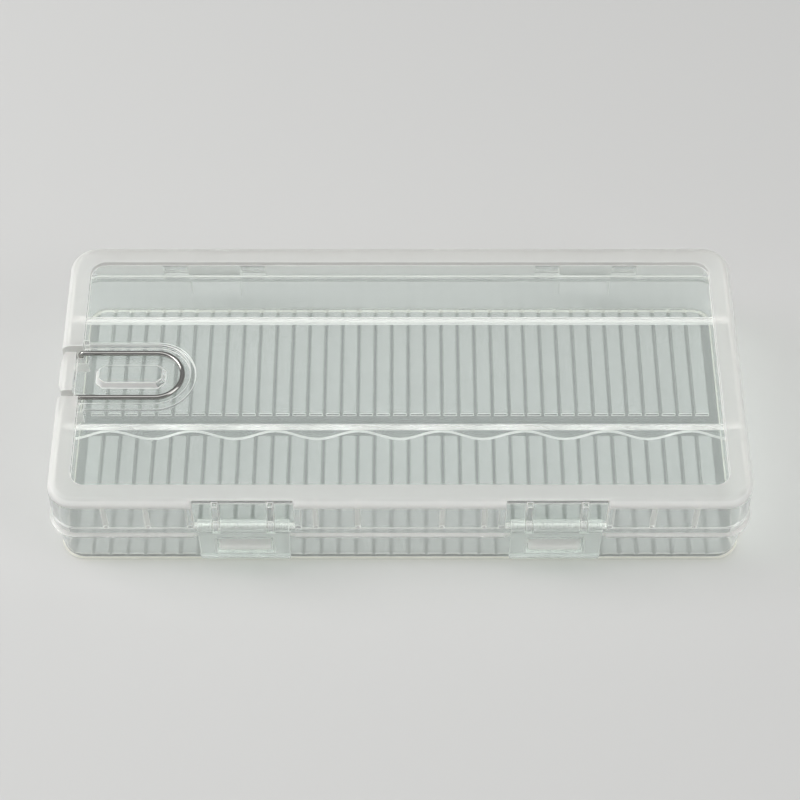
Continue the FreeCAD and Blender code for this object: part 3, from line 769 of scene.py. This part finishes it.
def latch(x):
    """Clear snap latch: plate, and a barrel with a slot for each ear."""
    half = LATCH_WIDTH / 2
    plate = latch_plate(x)
    barrel = rod_along_x("barrel", LATCH_BARREL_RADIUS, x - half, x + half, LATCH_AXIS, BARREL_SIDES)
    combine(plate, [barrel], "UNION")
    cuts = [latch_pin_bore(x)]
    for hand in (-1, 1):
        middle = x + hand * LUG_SPACING / 2
        reach = LUG_WIDTH / 2 + LATCH_GAP
        cuts.append(rod_along_x("slot", LATCH_BARREL_RADIUS + LATCH_GAP, middle - reach, middle + reach,
                                LATCH_AXIS, BARREL_SIDES))
    combine(plate, cuts, "DIFFERENCE")
    soften(plate)
    return plate


def steel_pin(radius, x0, x1, axis):
    """Steel pin with chamfered ends."""
    pin = rod_along_x("pin", radius, x0, x1, axis)
    edit(pin)
    select("EDGE", lambda edge: any(len(face.verts) > 4 for face in edge.link_faces))
    bpy.ops.mesh.bevel(offset=END_CHAMFER, segments=EDGE_STEPS, affect="EDGES")
    done()
    pick(pin)
    bpy.ops.object.shade_smooth_by_angle(angle=SHARP_ANGLE)
    return pin


def hanger_wire():
    """Sprung wire loop, drawn from one stub round to the other in one run of spins and pulls."""
    elbow = HANGER_PIVOT_DROP / 2
    y0 = HANGER_Y - HANGER_HALF_WIDTH
    y1 = HANGER_Y + HANGER_HALF_WIDTH
    leg = LOOP_X - PIVOT_X - elbow
    stub = HANGER_STUB - elbow
    bpy.ops.mesh.primitive_circle_add(vertices=WIRE_SIDES, radius=WIRE_RADIUS, fill_type="NGON",
                                      location=(PIVOT_X, y0 - HANGER_STUB, PIVOT_Z),
                                      rotation=(math.radians(-90), 0, 0))
    wire = settle(bpy.context.object, "hanger_loop")
    edit(wire)
    bpy.ops.mesh.select_all(action="SELECT")
    pull((0, stub, 0))
    bend((PIVOT_X, y0 - elbow, PIVOT_Z + elbow), (-1, 0, 0), 90, ELBOW_STEPS)
    bend((PIVOT_X + elbow, y0, PIVOT_Z + elbow), (0, -1, 0), 90, ELBOW_STEPS)
    pull((leg, 0, 0))
    bend((LOOP_X, HANGER_Y, WIRE_Z), (0, 0, -1), 180, LOOP_STEPS)
    pull((-leg, 0, 0))
    bend((PIVOT_X + elbow, y1, PIVOT_Z + elbow), (0, 1, 0), 90, ELBOW_STEPS)
    bend((PIVOT_X, y1 + elbow, PIVOT_Z + elbow), (-1, 0, 0), 90, ELBOW_STEPS)
    pull((0, stub, 0))
    select("EDGE", lambda edge: sum(len(face.verts) > 4 for face in edge.link_faces) == 1)
    bpy.ops.mesh.bevel(offset=END_CHAMFER, segments=EDGE_STEPS, affect="EDGES")
    bpy.ops.mesh.select_all(action="SELECT")
    bpy.ops.mesh.remove_doubles(threshold=MERGE_REACH)
    bpy.ops.mesh.normals_make_consistent(inside=False)
    done()
    pick(wire)
    bpy.ops.object.shade_smooth_by_angle(angle=SHARP_ANGLE)
    return wire


def pull(by):
    """Draw the wire's open end straight on."""
    bpy.ops.mesh.extrude_region_move(TRANSFORM_OT_translate={"value": by})


def bend(centre, axis, angle, steps):
    """Draw the wire's open end round a bend, against the right-hand rule about the axis."""
    bpy.ops.mesh.spin(steps=steps, angle=math.radians(angle), center=centre, axis=axis)


# Materials.


def new_material(name, tint):
    """Principled material to build on: the material, its node tree and its shader."""
    material = bpy.data.materials.new(name)
    material.use_nodes = True
    shader = material.node_tree.nodes["Principled BSDF"]
    shader.inputs["Base Color"].default_value = (*tint, 1)
    return material, material.node_tree, shader


def noise(tree, grain, detail, stretch=(1, 1, 1)):
    """Noise fixed to the piece, whose grains are about as long as the given length."""
    place = tree.nodes.new("ShaderNodeTexCoord")
    fit = tree.nodes.new("ShaderNodeMapping")
    fit.inputs["Scale"].default_value = stretch
    pattern = tree.nodes.new("ShaderNodeTexNoise")
    pattern.inputs["Scale"].default_value = 1 / grain
    pattern.inputs["Detail"].default_value = detail
    tree.links.new(place.outputs["Object"], fit.inputs["Vector"])
    tree.links.new(fit.outputs["Vector"], pattern.inputs["Vector"])
    return pattern.outputs["Fac"]


def ranged(tree, pattern, low, high, start=0.3, end=0.7):
    """A pattern brought between two values."""
    span = tree.nodes.new("ShaderNodeMapRange")
    span.inputs["From Min"].default_value = start
    span.inputs["From Max"].default_value = end
    span.inputs["To Min"].default_value = low
    span.inputs["To Max"].default_value = high
    tree.links.new(pattern, span.inputs["Value"])
    return span.outputs["Result"]


def relief(tree, shader, pattern, height):
    """Let a pattern stand up from the surface by height."""
    bump = tree.nodes.new("ShaderNodeBump")
    bump.inputs["Distance"].default_value = height
    tree.links.new(pattern, bump.inputs["Height"])
    tree.links.new(bump.outputs["Normal"], shader.inputs["Normal"])


def pass_lamp_light(tree, shader, tint):
    """Let the lamps shine through clear plastic, so that what lies inside is lit."""
    through = tree.nodes.new("ShaderNodeBsdfTransparent")
    through.inputs["Color"].default_value = (*tint, 1)
    ray = tree.nodes.new("ShaderNodeLightPath")
    blend = tree.nodes.new("ShaderNodeMixShader")
    output = tree.nodes["Material Output"]
    tree.links.new(ray.outputs["Is Shadow Ray"], blend.inputs["Fac"])
    tree.links.new(shader.outputs["BSDF"], blend.inputs[1])
    tree.links.new(through.outputs["BSDF"], blend.inputs[2])
    tree.links.new(blend.outputs["Shader"], output.inputs["Surface"])


def polypropylene(name, tint, clearness, smooth, rough, lamp_tint):
    """Moulded polypropylene: slightly cloudy and softly wavy, with a few fine rub marks."""
    material, tree, shader = new_material(name, tint)
    shader.inputs["IOR"].default_value = CASE_IOR
    shader.inputs["Transmission Weight"].default_value = clearness
    cloud = ranged(tree, noise(tree, CLOUD_GRAIN, 3), 0, 1)
    rubs = ranged(tree, noise(tree, CASE_RUB, 2, (0.04, 1, 1)), 0, 1, 0.6, 0.75)
    both = tree.nodes.new("ShaderNodeMath")
    both.operation = "MULTIPLY"
    tree.links.new(cloud, both.inputs[0])
    tree.links.new(rubs, both.inputs[1])
    tree.links.new(ranged(tree, both.outputs["Value"], smooth, rough, 0, 1), shader.inputs["Roughness"])
    relief(tree, shader, noise(tree, CASE_WAVE, 1), RELIEF_HEIGHT)
    pass_lamp_light(tree, shader, lamp_tint)
    return material


def panel_plastic():
    """Polished clear faces: the lid's panel and the insides."""
    return polypropylene("panel_plastic", (0.9, 0.925, 0.915), 0.92, 0.02, 0.08, (0.87, 0.885, 0.875))


def wall_plastic():
    """Slightly frosted outer walls."""
    return polypropylene("wall_plastic", (0.91, 0.93, 0.92), 0.74, 0.13, 0.17, (0.86, 0.88, 0.865))


def rim_plastic():
    """Cloudier plastic of the lid's rim, the back walls and the slots for the hanger's legs."""
    return polypropylene("rim_plastic", (0.88, 0.87, 0.85), 0.64, 0.36, 0.4, (0.86, 0.855, 0.84))


def edge_highlight_plastic():
    """Frosted rounded edges and ribs, which glow whitish: a painted highlight along the edges."""
    return polypropylene("edge_highlight_plastic", (0.96, 0.955, 0.935), 0.36, 0.3, 0.4, (0.81, 0.805, 0.785))


def foot_plastic():
    """Frosted foot of the tray, with a faint straw tint."""
    return polypropylene("foot_plastic", (0.96, 0.95, 0.86), 0.42, 0.3, 0.4, (0.81, 0.805, 0.76))


def floor_shade_plastic():
    """Clear floor of the tray, tinted darker than the plastic so that the inside stays dim over a pale floor:
    painted shade.
    """
    return polypropylene("floor_shade_plastic", (0.55, 0.575, 0.565), 0.92, 0.02, 0.08, (0.55, 0.56, 0.555))


def bar_plastic():
    """Lightly frosted tops of the floor bars, which let less lamp light through than the panel."""
    return polypropylene("bar_plastic", (0.9, 0.92, 0.91), 0.74, 0.14, 0.22, (0.6, 0.615, 0.61))


def latch_plastic(name, clearness, smooth, rough):
    """Glossy polycarbonate with a faint green cast, as clear as given."""
    material, tree, shader = new_material(name, (0.95, 0.985, 0.965))
    shader.inputs["IOR"].default_value = LATCH_IOR
    shader.inputs["Transmission Weight"].default_value = clearness
    rubs = noise(tree, LATCH_RUB, 2, (0.08, 1, 1))
    tree.links.new(ranged(tree, rubs, smooth, rough, 0.5, 0.8), shader.inputs["Roughness"])
    relief(tree, shader, noise(tree, LATCH_WAVE, 1), RELIEF_HEIGHT)
    pass_lamp_light(tree, shader, (0.9, 0.95, 0.92))
    return material


def wire_steel():
    """Bright drawn spring wire with faint lines along it and handling marks."""
    material, tree, shader = new_material("wire_steel", (0.42, 0.415, 0.4))
    shader.inputs["Metallic"].default_value = 1
    handling = noise(tree, 1.6 * MM, 4)
    tree.links.new(ranged(tree, handling, 0.05, 0.13), shader.inputs["Roughness"])
    relief(tree, shader, noise(tree, 0.12 * MM, 2, (0.05, 1, 1)), RELIEF_HEIGHT)
    return material


def pin_steel():
    """Plain ground steel of the pins."""
    material, tree, shader = new_material("pin_steel", (0.62, 0.61, 0.59))
    shader.inputs["Metallic"].default_value = 1
    rings = noise(tree, 0.2 * MM, 3, (1, 0.2, 0.2))
    tree.links.new(ranged(tree, rings, 0.2, 0.38), shader.inputs["Roughness"])
    return material


def floor_paint():
    """Pale matt floor."""
    material, _, shader = new_material("floor_paint", (0.62, 0.62, 0.61))
    shader.inputs["Roughness"].default_value = 0.8
    return material


def paint_faces(piece, material, wanted):
    """Give the faces of a piece for which wanted(centre, normal) holds another material."""
    if material.name not in piece.data.materials:
        piece.data.materials.append(material)
    slot = piece.data.materials.find(material.name)
    for face in piece.data.polygons:
        if face.material_index != EDGE_SLOT and wanted(face.center, face.normal):
            face.material_index = slot


def outside_case(centre, flare):
    """Whether a place lies on the outer skin of a wall that stands out by flare there."""
    reach_x = TOP_HALF_X + flare - WALL / 2
    reach_y = TOP_HALF_Y + flare - WALL / 2
    round_x = max(0.0, abs(centre.x) - reach_x + CORNER_RADIUS)
    round_y = max(0.0, abs(centre.y) - reach_y + CORNER_RADIUS)
    return math.hypot(round_x, round_y) > CORNER_RADIUS


def on_lid_wall(centre, normal):
    """Whether a face belongs to the lid's outer walls."""
    return outside_case(centre, lid_flare(centre.z)) and centre.z < HEIGHT - LID_FILLET


def on_back(centre, normal):
    """Whether a face belongs to the outside of either back wall."""
    return centre.y > TOP_HALF_Y and normal.y > 0.9


def in_pocket(centre):
    """Whether a place lies inside a latch pocket."""
    return centre.y < POCKET_Y - NEAR and abs(abs(centre.x) - LATCH_SPACING / 2) < POCKET_HALF - NEAR


def on_rim(centre, normal):
    """Whether a face belongs to the lid's rim, from the rounded edge to the step down to the panel."""
    outside = outside_case(centre, lid_flare(centre.z)) and centre.z >= HEIGHT - LID_FILLET
    return (outside or centre.z > PANEL_TOP + EDGE_RADIUS) and not in_pocket(centre)


def on_rounding(centre, normal):
    """Whether a face belongs to the rounded edge between the lid's walls and its rim."""
    return on_rim(centre, normal) and outside_case(centre, lid_flare(centre.z)) and normal.z < 0.97


def on_bead(centre, normal):
    """Whether a face belongs to the sloping top of the bead round the lid's foot."""
    height = centre.z - LID_BOTTOM
    return outside_case(centre, lid_flare(centre.z)) and BEAD_LAND - NEAR < height < BEAD_HEIGHT + NEAR


def on_rib_foot(centre, normal):
    """Whether a face is the lower face of one of the two long ribs under the panel."""
    straight = abs(centre.y - STRAIGHT_RIB_Y) < STRAIGHT_RIB_WIDTH / 2
    scalloped = abs(centre.y - SCALLOP_RIB_Y) < SCALLOP_RIB_WIDTH / 2
    hanging = PANEL_UNDERSIDE - SCALLOP_TOOTH_DEPTH - NEAR < centre.z < PANEL_UNDERSIDE - EDGE_RADIUS
    return (straight or scalloped) and hanging and normal.z < -0.3


def on_pocket_side(centre, normal):
    """Whether a face is a side wall of a latch pocket."""
    across = abs(abs(centre.x) - LATCH_SPACING / 2)
    return abs(across - POCKET_HALF) < EDGE_RADIUS and centre.y < POCKET_Y and abs(normal.x) > 0.5


def on_slot_wall(centre, normal):
    """Whether a face lines one of the slots for the hanger's legs."""
    across = abs(abs(centre.y - HANGER_Y) - HANGER_HALF_WIDTH)
    return centre.x < -RIM_INNER_X and across < SLOT_MOUTH_WIDTH and centre.z > SLOT_FLOOR - NEAR


def on_island_slope(centre, normal):
    """Whether a face is a sloping side of the island inside the hanger's loop."""
    inside = abs(centre.y - HANGER_Y) < ISLAND_WIDTH / 2 and -RIM_INNER_X < centre.x < LOOP_X
    return inside and PAD_FLOOR < centre.z and 0.1 < normal.z < 0.98


def on_stop_rib(centre, normal):
    """Whether a face belongs to a rib inside the lid's front wall."""
    wall = -TOP_HALF_Y - lid_flare(centre.z) + WALL
    nearest = min(abs(abs(centre.x) - slot * CELL_PITCH / 2) for slot in STOP_RIB_SLOTS)
    return wall < centre.y < wall + 2 * STOP_RIB_DEPTH and nearest < STOP_RIB_WIDTH / 2 + NEAR


def on_tray_wall(centre, normal):
    """Whether a face belongs to the tray's outer walls."""
    return outside_case(centre, base_flare(centre.z)) and centre.z < SEAM_HEIGHT


def on_foot(centre, normal):
    """Whether a face belongs to the tray's rounded foot."""
    return outside_case(centre, base_flare(centre.z) - FOOT_FILLET) and centre.z < FOOT_FILLET


def on_bar(centre, normal):
    """Whether a face is the top of a floor bar."""
    return abs(centre.z - FLOOR - BAR_HEIGHT) < EDGE_RADIUS and normal.z > 0.5


def on_bar_edge(centre, normal):
    """Whether a face is a rounded edge of a floor bar, apart from its end towards the latches."""
    beside = FLOOR - NEAR < centre.z < FLOOR + BAR_HEIGHT + NEAR and abs(centre.x) < TOP_HALF_X - WALL
    return beside and normal.y > -0.3 and abs(centre.y) < TOP_HALF_Y - WALL


def on_tray_floor(centre, normal):
    """Whether a face is the tray's inner floor beside the bars or its underside."""
    inner = abs(centre.z - FLOOR) < NEAR and normal.z > LEVEL
    return inner or (centre.z < NEAR and normal.z < -LEVEL)


def on_tongue_top(centre, normal):
    """Whether a face is the top of the tongue round the tray."""
    return abs(centre.z - TONGUE_TOP) < EDGE_RADIUS and normal.z > 0.9


def on_catch(centre, normal):
    """Whether a face belongs to a catch on the tray's front."""
    across = abs(abs(centre.x) - LATCH_SPACING / 2)
    before_wall = centre.y < -TOP_HALF_Y - base_flare(SEAM_HEIGHT)
    return before_wall and across < WINDOW_WIDTH / 2 and centre.z > WINDOW_BOTTOM


def clear_edges(piece, wanted):
    """Give rounded edges for which wanted(centre, normal) holds the material of the body."""
    for face in piece.data.polygons:
        if face.material_index == EDGE_SLOT and wanted(face.center, face.normal):
            face.material_index = BODY_SLOT


def dress(piece, material):
    """Give a piece one material."""
    piece.data.materials.clear()
    piece.data.materials.append(material)


def dress_moulding(piece, material, edges):
    """Give a moulded piece its material, with another on its rounded edges, which paints highlights there."""
    piece.data.materials[BODY_SLOT] = material
    piece.data.materials[EDGE_SLOT] = edges


# The floor, the lights and the camera.


def lay_floor(material):
    """Floor just under the case."""
    bpy.ops.mesh.primitive_plane_add(size=FLOOR_SIZE, location=(0, 0, -NEAR))
    floor = settle(bpy.context.object, "floor")
    dress(floor, material)


def soft_light(name, place, width, depth, power):
    """Soft box that looks at the case."""
    lamp = bpy.data.lights.new(name, "AREA")
    lamp.shape = "RECTANGLE"
    lamp.size = width
    lamp.size_y = depth
    lamp.energy = power
    light = bpy.data.objects.new(name, lamp)
    bpy.context.scene.collection.objects.link(light)
    light.location = place
    light.rotation_euler = (-Vector(place)).to_track_quat("-Z", "Y").to_euler()


def light_studio():
    """Pale surroundings, brighter overhead, a soft key at the left, a fill at the right and a strip above."""
    world = bpy.data.worlds.new("studio")
    world.use_nodes = True
    tree = world.node_tree
    direction = tree.nodes.new("ShaderNodeTexCoord")
    split = tree.nodes.new("ShaderNodeSeparateXYZ")
    tree.links.new(direction.outputs["Generated"], split.inputs["Vector"])
    background = tree.nodes["Background"]
    strength = ranged(tree, split.outputs["Z"], 0.12, 0.4, 0.0, 0.9)
    tree.links.new(strength, background.inputs["Strength"])
    background.inputs["Color"].default_value = (1, 1, 1, 1)
    bpy.context.scene.world = world
    soft_light("key", (-0.75, 0.1, 0.7), 0.6, 0.6, 6.3)
    soft_light("fill", (0.7, -0.35, 0.6), 0.6, 0.6, 2.6)
    soft_light("top", (0, 0, 0.9), 1.0, 0.3, 1.8)


def place_camera():
    """Camera in front, looking down at the case."""
    lens = bpy.data.cameras.new("camera")
    lens.sensor_width = CAMERA_SENSOR
    lens.lens = CAMERA_LENS
    lens.clip_start = CAMERA_NEAREST
    camera = bpy.data.objects.new("camera", lens)
    bpy.context.scene.collection.objects.link(camera)
    camera.location = CAMERA_PLACE
    camera.rotation_euler = (CAMERA_TILT, 0, 0)
    bpy.context.scene.camera = camera


def place_pair(piece, name, node, body, shift):
    """Name a finished left piece, copy it to the right by shift, and fix both to their bodies."""
    piece.name = name.format("left")
    pair = {"left": piece, "right": copy_beside(piece, name.format("right"), shift)}
    for side, one in pair.items():
        one.data.name = one.name
        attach(one, body.format(side))
        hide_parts(node.format(side))


def build():
    """Every piece, dressed and fixed to its body."""
    clear = panel_plastic()
    walls = wall_plastic()
    cloudy = rim_plastic()
    # The whitish edge plastic is a painted highlight along edges, ribs, the bead and the catches.
    frosted = edge_highlight_plastic()
    latch_clear = latch_plastic("latch_plastic", 0.74, 0.01, 0.06)
    # Less clear latch plastic on the latch's rounded edges: painted highlight.
    latch_edge_highlight = latch_plastic("latch_edge_plastic", 0.5, 0.2, 0.3)
    wire_finish = wire_steel()
    pin_finish = pin_steel()

    tray = base_tray()
    dress_moulding(tray, clear, frosted)
    paint_faces(tray, walls, on_tray_wall)
    paint_faces(tray, cloudy, on_back)
    # The catches and the tongue's top get the whitish edge plastic: painted highlights.
    for region in (on_catch, on_tongue_top):
        paint_faces(tray, frosted, region)
    paint_faces(tray, foot_plastic(), on_foot)
    paint_faces(tray, bar_plastic(), on_bar)
    # The tray's inner floor and underside are tinted dark: painted shade for the dim inside.
    paint_faces(tray, floor_shade_plastic(), on_tray_floor)
    # Bar edges go back to the clear body; only the bars' ends towards the latches keep the painted highlight
    # of the edge plastic.
    clear_edges(tray, on_bar_edge)
    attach(tray, "base")
    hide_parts("base_tray")

    lid = lid_cover()
    dress_moulding(lid, clear, frosted)
    paint_faces(lid, walls, on_lid_wall)
    for region in (on_rim, on_back, on_slot_wall):
        paint_faces(lid, cloudy, region)
    # The rounded top edge, the bead, the rib feet, the pocket sides, the island's slopes and the stop ribs
    # get the whitish edge plastic: painted highlights.
    for region in (on_rounding, on_bead, on_rib_foot, on_pocket_side, on_island_slope, on_stop_rib):
        paint_faces(lid, frosted, region)
    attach(lid, "lid")
    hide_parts("lid_cover")

    wire = hanger_wire()
    dress(wire, wire_finish)
    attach(wire, "hanger")
    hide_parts("hanger_wire")

    x = LATCH_CENTRES["left"]
    plate = latch(x)
    dress_moulding(plate, latch_clear, latch_edge_highlight)
    reach = LATCH_WIDTH / 2 - LATCH_GAP
    latch_pin = steel_pin(LATCH_PIN_RADIUS, x - reach, x + reach, LATCH_AXIS)
    dress(latch_pin, pin_finish)
    shift = (LATCH_SPACING, 0, 0)
    place_pair(plate, "latch_{}_plate", "latch_{}", "latch_{}", shift)
    place_pair(latch_pin, "latch_pin_{}_round", "latch_pin_{}", "lid", shift)

    x = HINGE_CENTRES["left"]
    hinge_pin = steel_pin(HINGE_PIN_RADIUS, x - HINGE_HALF, x + HINGE_HALF, HINGE_AXIS)
    dress(hinge_pin, pin_finish)
    place_pair(hinge_pin, "hinge_pin_{}_round", "hinge_pin_{}", "base", (HINGE_SPACING, 0, 0))


build()
lay_floor(floor_paint())
light_studio()
place_camera()
bpy.context.scene.view_settings.view_transform = "Standard"
